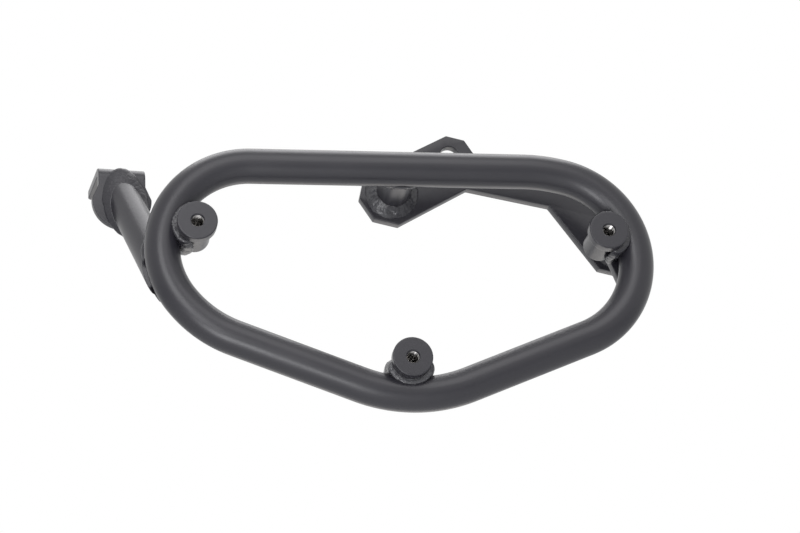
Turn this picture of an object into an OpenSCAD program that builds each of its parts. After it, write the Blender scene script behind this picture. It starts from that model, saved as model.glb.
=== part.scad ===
// Welded side carrier frame for a motorcycle pannier.
// The origin is the centre of the plate's bolt hole, on the rear face of the plate.
// X runs along the frame, Y points to the motorcycle and Z points up.

/* [Loop tube] */
// Outside diameter of every tube
tube_d = 16; // [14:0.5:17]
// Wall thickness of the stand-off tubes
tube_wall = 2; // [1:0.25:3]
// Drop of the top run below the bolt hole
top_drop = 20.3; // [19:0.1:23]
// Distance of the left bend's centre from the bolt hole
left_bend_x = 98.3; // [94:0.1:104]
// Radius of the left bend
left_bend_r = 40.3; // [38:0.1:43]
// Radius of the wider end of the left bend
left_end_r = 52.8; // [48:0.1:58]
// Direction at which the left bend widens, in degrees
left_end_turn = 219.4; // [212:0.1:226]
// Distance of the right bend's centre from the bolt hole
right_bend_x = 37; // [33:0.1:42]
// Radius of the right bend
right_bend_r = 41.4; // [39:0.1:44]
// Radius of the wider start of the right bend
right_start_r = 78.6; // [60:0.1:95]
// Direction at which the right bend tightens, in degrees
right_start_turn = 77.1; // [72:0.1:83]
// Distance of the bottom bend's centre to the left of the bolt hole
bottom_bend_x = 28; // [23:0.1:33]
// Distance of the bottom bend's centre below the bolt hole
bottom_bend_drop = 61.1; // [58:0.1:66]
// Radius of the bottom bend
bottom_bend_r = 67.3; // [63:0.1:72]

/* [Threaded bosses] */
// Diameter of a boss head
boss_head_d = 18; // [16:0.5:19]
// Thickness of a boss head
boss_head_t = 5; // [3:0.5:5]
// Diameter of a boss shank
boss_shank_d = 14; // [13:0.5:15]
// Length of a boss over everything
boss_length = 22; // [20:0.5:24]
// Core diameter of the M6 thread in a boss
boss_bore_d = 5; // [4.2:0.1:6.8]
// Depth and width of the countersink at each end of the bore
boss_sink = 0.7; // [0.2:0.1:1.2]
// Edge chamfer of a boss
boss_chamfer = 0.5; // [0.2:0.1:1]
// Distance of a boss axis from the tube's centreline
boss_inset = 13.5; // [13:0.1:14]
// Distance of a boss face in front of the tube's centreline
boss_front = 13; // [13:0.1:14]
// Direction of the left boss, seen from the left bend's centre
boss_left_turn = 161.6; // [150:0.1:172]
// Direction of the right boss, seen from the right bend's centre
boss_right_turn = 19.5; // [17:0.1:20]
// Direction of the bottom boss, seen from the bottom bend's centre
boss_bottom_turn = 267.6; // [264:0.1:275]

/* [Rear plate] */
// Thickness of the rear plate
plate_t = 5; // [4:0.5:6]
// Distance from the loop's plane to the front face of the plate
plate_gap = 29; // [26:0.5:34]
// Width across the flats of the upper stand-off's lug
upper_lug_af = 29.2; // [26:0.1:30]
// Width across the flats of the rear stand-off's lug
rear_lug_af = 25.6; // [24:0.1:28]
// Width across the flats of the bolt-hole lug
hole_lug_af = 21.6; // [20:0.1:23]
// Turn of the lugs' flats, in degrees
lug_turn = 31.5; // [28:0.5:35]
// Diameter of the bolt hole, a clearance hole for M8
plate_hole_d = 9; // [8.4:0.1:10]
// Distance of the bolt-hole lug's centre to the right of the hole
hole_lug_x = 0.7; // [0:0.1:1]
// Distance of the bolt-hole lug's centre below the hole
hole_lug_drop = 1.5; // [0.5:0.1:2]
// Distance of the inner corner, between bar and arm, to the right of the bolt hole
inner_x = 7.5; // [5:0.1:10]
// Distance of the inner corner below the bolt hole
inner_drop = 17.1; // [15:0.1:19]
// Distance of the upper stand-off to the left of the bolt hole
upper_lug_x = 28.5; // [26:0.1:32]
// Width of the arm that leads to the rear lug
arm_w = 16; // [12:0.5:18]
// Length of the arm's lower edge
arm_length = 40.1; // [36:0.1:44]
// Direction of the arm, in degrees
arm_turn = -11.5; // [-15:0.1:-9]
// Clearance between the rear stand-off and the right boss's shank
rear_clear = 0.7; // [0.5:0.1:1.5]
// Direction of the rear stand-off, seen from the right boss
rear_turn = 31.2; // [28:0.1:36]

/* [Front foot] */
// Thickness of the foot's steel
foot_t = 4; // [3:0.5:5]
// Distance of the foot's face behind the loop's plane
foot_gap = 39; // [36:0.5:42]
// Distance of the foot's round end to the left of the left bend's centre
foot_x = 55.8; // [53:0.1:59]
// Height of the foot's round end above the left bend's centre
foot_rise = 38.8; // [36:0.1:42]
// Diameter of the round end
foot_disc_d = 27.7; // [26:0.1:29]
// Width of the foot at its fold
foot_w = 22; // [18:0.2:24]
// Height of the shoulders, where the sides spread, above the centre of the round end
foot_shoulder = 7.1; // [6:0.1:9]
// Height of the fold's outside above the centre of the round end
foot_h = 17.1; // [16:0.1:20]
// Inside radius of the fold
foot_fold_r = 2; // [1:0.5:3]
// Depth of the back leg over everything
foot_depth = 34.2; // [30:0.2:40]
// Radius of the back leg's corners
foot_corner_r = 2; // [1:0.5:6]
// Diameter of the hole in the back leg, a clearance hole for M8
foot_hole_d = 9; // [8.4:0.1:10]
// Turn of the foot about the vertical, in degrees
foot_yaw = 6.5; // [0:0.5:10]
// Direction at which the front stand-off meets the left bend, in degrees
front_turn = 201.8; // [196:0.1:206]
// Distance of that point outside the tube's centreline
front_out = 1.8; // [0:0.1:3]
// Distance of the stand-off's upper end to the right of the round end's centre
front_top_x = 1.8; // [0:0.1:4]
// Distance of the stand-off's upper end below the round end's centre
front_top_drop = 2.1; // [1:0.1:3]

/* [Gusset and welds] */
// Thickness of the gusset behind the tube
gusset_t = 5; // [4:0.5:6]
// Depth by which the tube beds into the gusset
gusset_bed = 0.4; // [0.2:0.1:1]
// Radius of the gusset's lower end
gusset_end_r = 6; // [5:0.5:7]
// Width of the gusset's top edge
gusset_w = 18; // [14:0.5:19]
// Distance of the top edge's left corner to the right of the right bend's centre
gusset_x = 30.8; // [30.5:0.1:33]
// Height of the top edge above the right bend's centre
gusset_z = 3; // [2:0.1:3.2]
// Distance of the lower end's centre from the right bend's centre
gusset_reach = 43.7; // [41:0.1:46]
// Direction of the lower end, seen from the right bend's centre
gusset_turn = -15; // [-20:0.5:-12]
// Leg length of the weld rings on the plate
weld_leg = 4.4; // [2.5:0.1:4.6]
// Thickness of the weld beads between boss and tube
weld_boss = 3.2; // [2.2:0.1:3.5]
// Thickness of the weld beads between tube and tube
weld_bead = 2.2; // [1.5:0.1:2.6]

/* [Hidden] */
$fn = 48;

coat = [0.13, 0.13, 0.14];
bead_coat = [0.2, 0.2, 0.21];
tube_r = tube_d / 2;
bore_r = tube_r - tube_wall;
shank_r = boss_shank_d / 2;
bead_r = tube_r + weld_bead;
boss_bead_r = tube_r + weld_boss;
loop_y = -(plate_gap + plate_t);
// Flat cut of a coped tube end, measured from the loop's plane
cope_cut = 3;
// Room that a cutting shape takes beyond what it cuts
spare = 1;
// Short straight between two bends of different radius
link = 1;
// Straights run into the bends by this length, and are thinner by the second value
lap = 0.5;
seat = 0.02;

// Bend circles of the loop, each as x, z and radius
left_bend = [-left_bend_x, -top_drop - left_bend_r, left_bend_r];
left_end = touching(left_bend, left_end_r, left_end_turn);
bottom_bend = [-bottom_bend_x, -bottom_bend_drop, bottom_bend_r];
right_lift = (right_start_r - right_bend_r) * sin(right_start_turn) - link * cos(right_start_turn);
right_bend = [right_bend_x, -top_drop - right_start_r + right_lift, right_bend_r];
right_start = touching(right_bend, right_start_r, right_start_turn);
low_left_turn = straight_turn(left_end, bottom_bend);
low_right_turn = straight_turn(bottom_bend, right_bend);
right_full_turn = right_start_turn + 360;

// Places of the bosses and the stand-offs in the loop's plane
left_at = rim(left_bend, boss_left_turn, -boss_inset);
right_at = rim(right_bend, boss_right_turn, -boss_inset);
bottom_at = rim(bottom_bend, boss_bottom_turn, -boss_inset);
upper_at = [-upper_lug_x, -top_drop];
rear_at = along(right_at, rear_turn, shank_r + rear_clear + tube_r);

// Front foot and the stand-off under it
foot_at = [left_bend[0] - foot_x, loop_y + foot_gap, left_bend[1] + foot_rise];
foot_out_r = foot_fold_r + foot_t;
foot_hole_y = (foot_out_r + foot_depth) / 2;
front_low = behind(rim(left_bend, front_turn, front_out), 0);
front_top = foot_at + [front_top_x * cos(foot_yaw), front_top_x * sin(foot_yaw), -front_top_drop];
front_run = front_top - front_low;
front_reach = norm(front_run) + 2 * tube_d;
front_cut = 2;
// The flanks of the foot run out this far beside the round end
foot_flare = 0.3;

// Circle that carries on from another at the given direction, after a short straight
function touching(c, r, turn) = [
    c[0] + (c[2] - r) * cos(turn) - link * sin(turn),
    c[1] + (c[2] - r) * sin(turn) + link * cos(turn),
    r
];
// Direction of the normal of the straight that leaves circle a and reaches circle b
function straight_turn(a, b) =
    360 + atan2(b[1] - a[1], b[0] - a[0]) - acos((a[2] - b[2]) / norm([b[0] - a[0], b[1] - a[1]]));
// Point on the rim of a circle, or off it
function rim(c, turn, off = 0) = [c[0] + (c[2] + off) * cos(turn), c[1] + (c[2] + off) * sin(turn)];
// Point at a distance from another, in a direction
function along(p, turn, s) = [p[0] + s * cos(turn), p[1] + s * sin(turn)];
// Point in space behind a point of the loop's plane
function behind(p, y) = [p[0], loop_y + y, p[1]];
// Point where two lines cross, each through a point in a direction
function crossing(p, turn_p, q, turn_q) =
    along(p, turn_p, ((q[0] - p[0]) * sin(turn_q) - (q[1] - p[1]) * cos(turn_q)) / sin(turn_q - turn_p));
// Point at which a line from p touches a circle, on the given side
function tangent_point(p, c, r, side) =
    let (d = norm(c - p), base = atan2(c[1] - p[1], c[0] - p[0]))
    along(p, base + side * asin(r / d), sqrt(d * d - r * r));

// Drawing in the loop's plane, seen from the front
module in_loop_plane() translate([0, loop_y, 0]) rotate([90, 0, 0]) children();

// Bent piece of the loop with section radius r
module bend(c, from, to, r)
    in_loop_plane() translate([c[0], c[1], 0]) rotate([0, 0, from])
        rotate_extrude(angle = to - from) translate([c[2], 0]) circle(r = r);

// Straight piece of the loop with section radius r
module straight(p, q, r)
    in_loop_plane() translate([p[0], p[1], 0]) rotate([0, 0, atan2(q[1] - p[1], q[0] - p[0])])
        translate([-lap, 0, 0]) rotate([0, 90, 0]) cylinder(h = norm(q - p) + 2 * lap, r = r - seat);

module top_run(r) straight(rim(right_start, 90), rim(left_bend, 90), r);
module left_side(r) bend(left_bend, 90, left_end_turn, r);
module left_link(r) straight(rim(left_bend, left_end_turn), rim(left_end, left_end_turn), r);
module left_low(r) bend(left_end, left_end_turn, low_left_turn, r);
module bottom_side(r) bend(bottom_bend, low_left_turn, low_right_turn, r);
module right_side(r) bend(right_bend, low_right_turn, right_full_turn, r);
module right_high(r) bend(right_start, right_full_turn, 450, r);

module loop_path(r) {
    top_run(r);
    left_side(r);
    left_link(r);
    left_low(r);
    straight(rim(left_end, low_left_turn), rim(bottom_bend, low_left_turn), r);
    bottom_side(r);
    straight(rim(bottom_bend, low_right_turn), rim(right_bend, low_right_turn), r);
    right_side(r);
    straight(rim(right_bend, right_full_turn), rim(right_start, right_full_turn), r);
    right_high(r);
}

// Round bar along Y from y0 to y1 behind the loop's plane
module cross_bar(p, y0, y1, r)
    translate(behind(p, y0)) rotate([-90, 0, 0]) cylinder(h = y1 - y0, r = r);

module loop_tube() color(coat) loop_path(tube_r);

// Headed bush with a countersunk bore
module boss(p) {
    core_r = boss_bore_d / 2;
    mouth_r = core_r + boss_sink;
    head_r = boss_head_d / 2;
    translate(behind(p, -boss_front)) rotate([-90, 0, 0]) rotate_extrude()
        polygon([
            [mouth_r, 0],
            [head_r - boss_chamfer, 0],
            [head_r, boss_chamfer],
            [head_r, boss_head_t],
            [shank_r, boss_head_t],
            [shank_r, boss_length - boss_chamfer],
            [shank_r - boss_chamfer, boss_length],
            [mouth_r, boss_length],
            [core_r, boss_length - boss_sink],
            [core_r, boss_sink]
        ]);
}

module boss_left()
    color(coat) difference() {
        boss(left_at);
        left_side(tube_r);
    }

module boss_right()
    color(coat) difference() {
        boss(right_at);
        right_side(tube_r);
    }

module boss_bottom()
    color(coat) difference() {
        boss(bottom_at);
        bottom_side(tube_r);
    }

// Bead round a boss shank, to be limited by the tube beside it
module shank_bead(p, r) cross_bar(p, boss_head_t - boss_front, boss_length - boss_front - boss_chamfer, r);

module weld_boss_left()
    color(bead_coat) difference() {
        intersection() {
            shank_bead(left_at, shank_r + weld_boss);
            left_side(boss_bead_r);
        }
        shank_bead(left_at, shank_r);
        left_side(tube_r);
    }

module weld_boss_right()
    color(bead_coat) difference() {
        intersection() {
            shank_bead(right_at, shank_r + weld_boss);
            right_side(boss_bead_r);
        }
        shank_bead(right_at, shank_r);
        right_side(tube_r);
        cross_bar(rear_at, cope_cut, plate_gap, bead_r);
        gusset_sheet();
    }

module weld_boss_bottom()
    color(bead_coat) difference() {
        intersection() {
            shank_bead(bottom_at, shank_r + weld_boss);
            bottom_side(boss_bead_r);
        }
        shank_bead(bottom_at, shank_r);
        bottom_side(tube_r);
    }

// Corner of an eight-sided lug, counted round from the right
function lug_corner(p, af, i) = along(p, lug_turn + 22.5 + 45 * (i - 1), af / 2 / cos(22.5));

module plate_shape() {
    inner = [inner_x, -inner_drop];
    knee = along(inner, arm_turn, arm_length);
    hole_lug = [hole_lug_x, -hole_lug_drop];
    lug_right = lug_corner(hole_lug, hole_lug_af, 1);
    rear_in = lug_corner(rear_at, rear_lug_af, 5);
    rear_out = lug_corner(rear_at, rear_lug_af, 1);
    leg_turn = atan2(rear_in[1] - knee[1], rear_in[0] - knee[0]);
    leg_w = norm(rear_out - rear_in) * sin(lug_turn + 22.5 - leg_turn);
    bend_turn = arm_turn - leg_turn;
    knee_gain = (leg_w - arm_w * cos(bend_turn)) / sin(bend_turn);
    polygon([
        lug_corner(upper_at, upper_lug_af, 3),
        lug_corner(upper_at, upper_lug_af, 4),
        lug_corner(upper_at, upper_lug_af, 5),
        lug_corner(upper_at, upper_lug_af, 6),
        inner,
        knee,
        rear_in,
        lug_corner(rear_at, rear_lug_af, 6),
        lug_corner(rear_at, rear_lug_af, 7),
        lug_corner(rear_at, rear_lug_af, 8),
        rear_out,
        along(along(knee, arm_turn + 90, arm_w), arm_turn, knee_gain),
        crossing(lug_right, lug_turn - 90, along(inner, arm_turn + 90, arm_w), arm_turn),
        lug_right,
        lug_corner(hole_lug, hole_lug_af, 2)
    ]);
}

module rear_plate()
    color(coat) difference() {
        rotate([90, 0, 0]) linear_extrude(plate_t) plate_shape();
        translate([0, spare, 0]) rotate([90, 0, 0]) cylinder(h = plate_t + 2 * spare, d = plate_hole_d);
    }

module upper_standoff()
    color(coat) difference() {
        cross_bar(upper_at, cope_cut, plate_gap, tube_r);
        cross_bar(upper_at, 0, plate_gap + spare, bore_r);
        top_run(tube_r);
    }

module rear_standoff()
    color(coat) difference() {
        cross_bar(rear_at, cope_cut, plate_gap, tube_r);
        cross_bar(rear_at, 0, plate_gap + spare, bore_r);
        right_side(tube_r);
    }

// Weld ring on the front face of the plate
module plate_ring(p)
    translate(behind(p, plate_gap)) rotate([90, 0, 0]) rotate_extrude()
        polygon([
            [tube_r, 0],
            [tube_r + weld_leg, 0],
            [tube_r + weld_leg * 0.7, weld_leg * 0.6],
            [tube_r, weld_leg]
        ]);

module weld_upper_plate() color(bead_coat) plate_ring(upper_at);

module weld_rear_plate() color(bead_coat) plate_ring(rear_at);

module weld_upper_tube()
    color(bead_coat) difference() {
        intersection() {
            cross_bar(upper_at, cope_cut, plate_gap / 2, bead_r);
            top_run(bead_r);
        }
        cross_bar(upper_at, 0, plate_gap, tube_r);
        top_run(tube_r);
    }

module weld_rear_tube()
    color(bead_coat) difference() {
        intersection() {
            cross_bar(rear_at, cope_cut, plate_gap / 2, bead_r);
            right_side(bead_r);
        }
        cross_bar(rear_at, 0, plate_gap, tube_r);
        right_side(tube_r);
        cross_bar(right_at, 0, plate_gap, shank_r);
    }

// Slanted round bar on the front stand-off's axis, from the given distance on
module slant_bar(from, r)
    translate(front_low)
        rotate([0, acos(front_run[2] / norm(front_run)), atan2(front_run[1], front_run[0])])
            translate([0, 0, from]) cylinder(h = front_reach - from, r = r);

// Position of the foot, with the front face of its round end at y = 0
module on_foot() translate(foot_at) rotate([0, 0, foot_yaw]) children();

module front_standoff()
    color(coat) difference() {
        slant_bar(front_cut, tube_r);
        slant_bar(0, bore_r);
        left_side(tube_r);
        left_low(tube_r);
        on_foot() translate([-front_reach, 0, -front_reach]) cube(2 * front_reach);
    }

module weld_front_tube()
    color(bead_coat) difference() {
        intersection() {
            slant_bar(front_cut, bead_r);
            union() {
                left_side(bead_r);
                left_low(bead_r);
            }
        }
        slant_bar(0, tube_r);
        left_side(tube_r);
        left_low(tube_r);
    }

// Outline that trims the sides of the front leg, from the fold down past the round end
module foot_flanks() {
    half_w = foot_w / 2;
    fold_z = foot_h - foot_out_r;
    round_r = foot_disc_d / 2;
    spread = round_r + foot_flare;
    polygon([
        [-half_w, fold_z],
        [-half_w, foot_shoulder],
        [-spread, 0],
        [-spread, -foot_disc_d],
        [spread, -foot_disc_d],
        [spread, 0],
        [half_w, foot_shoulder],
        [half_w, fold_z]
    ]);
}

module front_leg()
    intersection() {
        union() {
            rotate([-90, 0, 0]) cylinder(h = foot_t, d = foot_disc_d);
            translate([-foot_disc_d * 0.48, 0, 0]) cube([foot_disc_d * 0.96, foot_t, foot_h - foot_out_r]);
        }
        translate([0, foot_t + spare, 0]) rotate([90, 0, 0]) linear_extrude(foot_t + 2 * spare) foot_flanks();
    }

module back_leg_shape() {
    inner_w = foot_w - 2 * foot_corner_r;
    corner_y = foot_depth - foot_corner_r;
    translate([-foot_w / 2, foot_out_r]) square([foot_w, corner_y - foot_out_r]);
    translate([-inner_w / 2, foot_out_r]) square([inner_w, foot_depth - foot_out_r]);
    translate([-inner_w / 2, corner_y]) circle(r = foot_corner_r);
    translate([inner_w / 2, corner_y]) circle(r = foot_corner_r);
}

module front_foot()
    color(coat) on_foot() difference() {
        union() {
            front_leg();
            translate([-foot_w / 2, foot_out_r, foot_h - foot_out_r]) rotate([0, 90, 0])
                rotate([0, 0, 180]) rotate_extrude(angle = 90)
                    translate([foot_fold_r, 0]) square([foot_t, foot_w]);
            translate([0, 0, foot_h - foot_t]) linear_extrude(foot_t) back_leg_shape();
        }
        translate([0, foot_hole_y, foot_h - foot_t - spare])
            cylinder(h = foot_t + 2 * spare, d = foot_hole_d);
    }

module weld_foot()
    color(bead_coat) difference() {
        intersection() {
            slant_bar(front_cut, bead_r);
            on_foot() rotate([90, 0, 0]) cylinder(h = weld_bead, d = foot_disc_d);
        }
        slant_bar(0, tube_r);
    }

module gusset_shape() {
    left = [right_bend[0] + gusset_x, right_bend[1] + gusset_z];
    right = left + [gusset_w, 0];
    tip = along([right_bend[0], right_bend[1]], gusset_turn, gusset_reach);
    translate(tip) circle(r = gusset_end_r);
    polygon([
        left,
        tangent_point(left, tip, gusset_end_r, -1),
        tip,
        tangent_point(right, tip, gusset_end_r, 1),
        right
    ]);
}

module gusset_sheet()
    translate([0, loop_y + tube_r - gusset_bed + gusset_t, 0]) rotate([90, 0, 0])
        linear_extrude(gusset_t) gusset_shape();

module tube_gusset()
    color(coat) difference() {
        gusset_sheet();
        right_side(tube_r);
    }

// Bead along the inner side of the tube, in front of the gusset
module weld_gusset() {
    bead_at = tube_r * 0.62;
    color(bead_coat) difference() {
        translate([0, tube_r - gusset_bed - weld_bead / 2, 0])
            bend([right_bend[0], right_bend[1], right_bend_r - bead_at], -14, -1, weld_bead * 0.75);
        right_side(tube_r);
        gusset_sheet();
    }
}

loop_tube();
boss_left();
boss_right();
boss_bottom();
rear_plate();
upper_standoff();
rear_standoff();
front_standoff();
front_foot();
tube_gusset();
weld_boss_left();
weld_boss_right();
weld_boss_bottom();
weld_upper_tube();
weld_upper_plate();
weld_rear_tube();
weld_rear_plate();
weld_front_tube();
weld_foot();
weld_gusset();
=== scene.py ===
import math

import bmesh
import bpy
import numpy as np
from mathutils import Matrix, Vector, noise


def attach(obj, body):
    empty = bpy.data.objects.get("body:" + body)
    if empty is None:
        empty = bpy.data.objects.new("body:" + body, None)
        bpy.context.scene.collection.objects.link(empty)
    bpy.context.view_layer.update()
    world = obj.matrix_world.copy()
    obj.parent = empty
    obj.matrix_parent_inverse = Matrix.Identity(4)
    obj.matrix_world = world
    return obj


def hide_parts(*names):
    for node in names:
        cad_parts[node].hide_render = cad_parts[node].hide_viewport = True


bl_info = {
    "name": "Pannier frame",
    "version": (1, 0, 0),
    "blender": (4, 5, 0),
    "location": "View3D > Sidebar > Pannier frame",
    "description": "Builds the coated tube frame, its bosses, brackets and weld beads",
    "category": "Object",
}

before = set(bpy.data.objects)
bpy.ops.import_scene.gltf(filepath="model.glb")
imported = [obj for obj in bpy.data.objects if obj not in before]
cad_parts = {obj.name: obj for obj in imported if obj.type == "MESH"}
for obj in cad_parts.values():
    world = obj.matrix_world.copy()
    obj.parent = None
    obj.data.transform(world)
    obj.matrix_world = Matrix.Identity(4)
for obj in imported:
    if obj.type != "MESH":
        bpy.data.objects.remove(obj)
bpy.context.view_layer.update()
MM = 0.001

# Places and radii in millimetres and turns in degrees, in the frame of the solids
TOP_DROP = 20.3
LOOP_Y = -34.0
LOOP_R = 8.0
LINK = 1.0
LEFT_R = 40.3
LEFT_END_R = 52.8
LEFT_END_TURN = 219.4
BOTTOM_R = 67.3
RIGHT_R = 41.4
RIGHT_START_R = 78.6
RIGHT_START_TURN = 77.1
BOSS_INSET = 13.5
BOSS_FRONT = 13.0
HEAD_T = 5.0
PLATE_GAP = 29.0
UPPER_LUG = 29.2
REAR_LUG = 25.6
HOLE_LUG = 21.6
LUG_TURN = 31.5
COPE_CUT = 3.0
FRONT_CUT = 4.5
FRONT_TURN = 201.8
FOOT_YAW = math.radians(6.5)
BOLT_R = 4.5
BACK = np.array([0.0, 1.0, 0.0])


def cos_d(turn):
    """Cosine of an angle in degrees."""
    return math.cos(math.radians(turn))


def sin_d(turn):
    """Sine of an angle in degrees."""
    return math.sin(math.radians(turn))


def rim(circle, turn, off=0.0):
    """Point on the rim of a circle in the loop's plane."""
    x, z, r = circle
    return np.array([x + (r + off) * cos_d(turn), z + (r + off) * sin_d(turn)])


def carried_on(circle, r, turn):
    """Circle that carries on from another after a short straight."""
    x, z, r0 = circle
    return (
        x + (r0 - r) * cos_d(turn) - LINK * sin_d(turn),
        z + (r0 - r) * sin_d(turn) + LINK * cos_d(turn),
        r,
    )


def straight_turn(a, b):
    """Direction of the normal of the straight between two bends."""
    dx, dz = b[0] - a[0], b[1] - a[1]
    return 360 + math.degrees(math.atan2(dz, dx) - math.acos((a[2] - b[2]) / math.hypot(dx, dz)))


def in_space(p, behind=0.0):
    """Point in space behind a point of the loop's plane."""
    return np.array([p[0], LOOP_Y + behind, p[1]])


LEFT_BEND = (-98.3, -TOP_DROP - LEFT_R, LEFT_R)
LEFT_END = carried_on(LEFT_BEND, LEFT_END_R, LEFT_END_TURN)
BOTTOM_BEND = (-28.0, -61.1, BOTTOM_R)
RIGHT_LIFT = (RIGHT_START_R - RIGHT_R) * sin_d(RIGHT_START_TURN) - LINK * cos_d(RIGHT_START_TURN)
RIGHT_BEND = (37.0, -TOP_DROP - RIGHT_START_R + RIGHT_LIFT, RIGHT_R)
RIGHT_START = carried_on(RIGHT_BEND, RIGHT_START_R, RIGHT_START_TURN)
LOW_LEFT = straight_turn(LEFT_END, BOTTOM_BEND)
LOW_RIGHT = straight_turn(BOTTOM_BEND, RIGHT_BEND)
ARCS = [
    (LEFT_BEND, 90.0, LEFT_END_TURN),
    (LEFT_END, LEFT_END_TURN, LOW_LEFT),
    (BOTTOM_BEND, LOW_LEFT, LOW_RIGHT),
    (RIGHT_BEND, LOW_RIGHT, 437.1),
    (RIGHT_START, 437.1, 450.0),
]
BOSS_PLACES = {
    "boss_left": rim(LEFT_BEND, 161.6, -BOSS_INSET),
    "boss_right": rim(RIGHT_BEND, 19.5, -BOSS_INSET),
    "boss_bottom": rim(BOTTOM_BEND, 267.6, -BOSS_INSET),
}
BOSS_BENDS = {"boss_left": LEFT_BEND, "boss_right": RIGHT_BEND, "boss_bottom": BOTTOM_BEND}
UPPER_AT = np.array([-28.5, -TOP_DROP])
REAR_AT = BOSS_PLACES["boss_right"] + 15.7 * np.array([cos_d(31.2), sin_d(31.2)])
FOOT_AT = np.array([LEFT_BEND[0] - 55.8, LOOP_Y + 39.0, LEFT_BEND[1] + 38.8])
FOOT_FACE = np.array([math.sin(FOOT_YAW), -math.cos(FOOT_YAW), 0.0])
FRONT_LOW = in_space(rim(LEFT_BEND, FRONT_TURN, 1.8))
FRONT_TOP = FOOT_AT + np.array([1.8 * math.cos(FOOT_YAW), 1.8 * math.sin(FOOT_YAW), -2.1])


def unit(v):
    """Vectors of length one."""
    v = np.asarray(v, float)
    return v / np.linalg.norm(v, axis=-1, keepdims=True)


def loop_line(step):
    """Centreline of the loop as points and outward normal directions, closed."""
    points, turns = [], []
    for i, (circle, start, end) in enumerate(ARCS):
        n = max(2, round(circle[2] * math.radians(end - start) / step))
        for k in range(n + 1):
            turn = start + (end - start) * k / n
            points.append(rim(circle, turn))
            turns.append(turn)
        following = ARCS[(i + 1) % len(ARCS)]
        p, q = points[-1], rim(following[0], following[1])
        n = max(1, round(np.linalg.norm(q - p) / step))
        for k in range(1, n):
            points.append(p + (q - p) * k / n)
            turns.append(end)
    points = np.array([in_space(p) for p in points])
    normals = np.array([[cos_d(t), 0.0, sin_d(t)] for t in turns])
    return points, normals


def from_line(points):
    """Vectors from the loop's centreline to the given points, square to it."""
    points = np.atleast_2d(points)
    flat = points[:, [0, 2]]
    best = np.full(len(points), 1e9)
    out = np.zeros_like(points)
    for i, (circle, start, end) in enumerate(ARCS):
        away = flat - np.array(circle[:2])
        turn = (np.degrees(np.arctan2(away[:, 1], away[:, 0])) - start) % 360
        on_arc = turn <= end - start
        near = np.array(circle[:2]) + unit(away) * circle[2]
        following = ARCS[(i + 1) % len(ARCS)]
        p, q = rim(circle, end), rim(following[0], following[1])
        share = np.clip((flat - p) @ (q - p) / ((q - p) @ (q - p)), 0, 1)
        for place, valid in ((near, on_arc), (p + share[:, None] * (q - p), True)):
            v = np.stack([flat[:, 0] - place[:, 0], points[:, 1] - LOOP_Y, flat[:, 1] - place[:, 1]], 1)
            d = np.where(valid, np.linalg.norm(v, axis=1), 1e9)
            closer = d < best
            best = np.where(closer, d, best)
            out[closer] = v[closer]
    return out


def square_to_loop(axis, turn):
    """Part of a direction that is square to the loop's line at a turn."""
    line = np.array([-sin_d(turn), 0.0, cos_d(turn)])
    return unit(axis - (axis @ line) * line)


def cope(base, axis, origin, square, least, r):
    """Distances along a tube at which its coped end leaves the loop tube."""
    past = crossing(base, np.repeat(axis[None, :], len(base), 0), 0.0, 40.0, r, True)
    return np.maximum(past, least - ((base - origin) @ square) / (axis @ square))


def crossing(start, ways, near, far, tube_r, inside_first):
    """Distance along each way at which it crosses the loop tube's surface."""
    steps = np.linspace(near, far, 160)
    points = start[:, None, :] + ways[:, None, :] * steps[None, :, None]
    gap = np.linalg.norm(from_line(points.reshape(-1, 3)), axis=1).reshape(len(start), -1) - tube_r
    out = np.full(len(start), near if inside_first else far)
    for i, g in enumerate(gap):
        inside = np.nonzero(g < 0)[0]
        if not len(inside):
            continue
        k = inside[-1] if inside_first else inside[0] - 1
        if 0 <= k < len(steps) - 1:
            share = g[k] / (g[k] - g[k + 1])
            out[i] = steps[k] + (steps[k + 1] - steps[k]) * share
        elif k < 0:
            out[i] = near
    return out


def grid_faces(rows, columns):
    """Quads of a grid of vertices, in rows, closed both ways."""
    faces = []
    for i in range(rows):
        for j in range(columns):
            a, b = i * columns + j, i * columns + (j + 1) % columns
            c, d = ((i + 1) % rows) * columns + (j + 1) % columns, ((i + 1) % rows) * columns + j
            faces.append((a, b, c, d))
    return faces


def add_piece(name, points, faces, finish, nodes, sharp=40.0):
    """Makes a mesh piece from points in millimetres, and stands it for its solids."""
    mesh = bpy.data.meshes.new(name)
    mesh.from_pydata([tuple(p * MM) for p in points], [], faces)
    return place_mesh(name, mesh, finish, nodes, sharp)


def place_mesh(name, mesh, finish, nodes, sharp=40.0):
    """Cleans a mesh, shades it and puts it in the scene in place of its solids."""
    shape = bmesh.new()
    shape.from_mesh(mesh)
    bmesh.ops.remove_doubles(shape, verts=shape.verts, dist=0.002 * MM)
    bmesh.ops.recalc_face_normals(shape, faces=shape.faces)
    shape.to_mesh(mesh)
    shape.free()
    mesh.shade_smooth()
    mesh.set_sharp_from_angle(angle=math.radians(sharp))
    for material in finish:
        mesh.materials.append(material)
    piece = bpy.data.objects.new(name, mesh)
    bpy.context.scene.collection.objects.link(piece)
    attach(piece, "root")
    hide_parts(*nodes)
    return piece


# Shapes


def tube_between(origin, axis, radii, start_at, end_at, columns=96, rows=40):
    """Hollow round tube whose ends are given for each direction around it."""
    axis = unit(axis)
    side = unit(np.cross(axis, [0.0, 0.0, 1.0] if abs(axis[2]) < 0.9 else [1.0, 0.0, 0.0]))
    other = np.cross(axis, side)
    around = np.linspace(0, 2 * math.pi, columns, endpoint=False)
    ways = np.outer(np.cos(around), side) + np.outer(np.sin(around), other)
    points = []
    for r, order in ((radii[0], 1), (radii[1], -1)):
        base = origin + ways * r
        low, high = start_at(base, axis), end_at(base, axis)
        shares = np.linspace(0, 1, rows)[::order]
        for s in shares:
            points.append(base + axis * (low + (high - low) * s)[:, None])
    points = np.concatenate(points)
    return points, grid_faces(2 * rows, columns)


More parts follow.
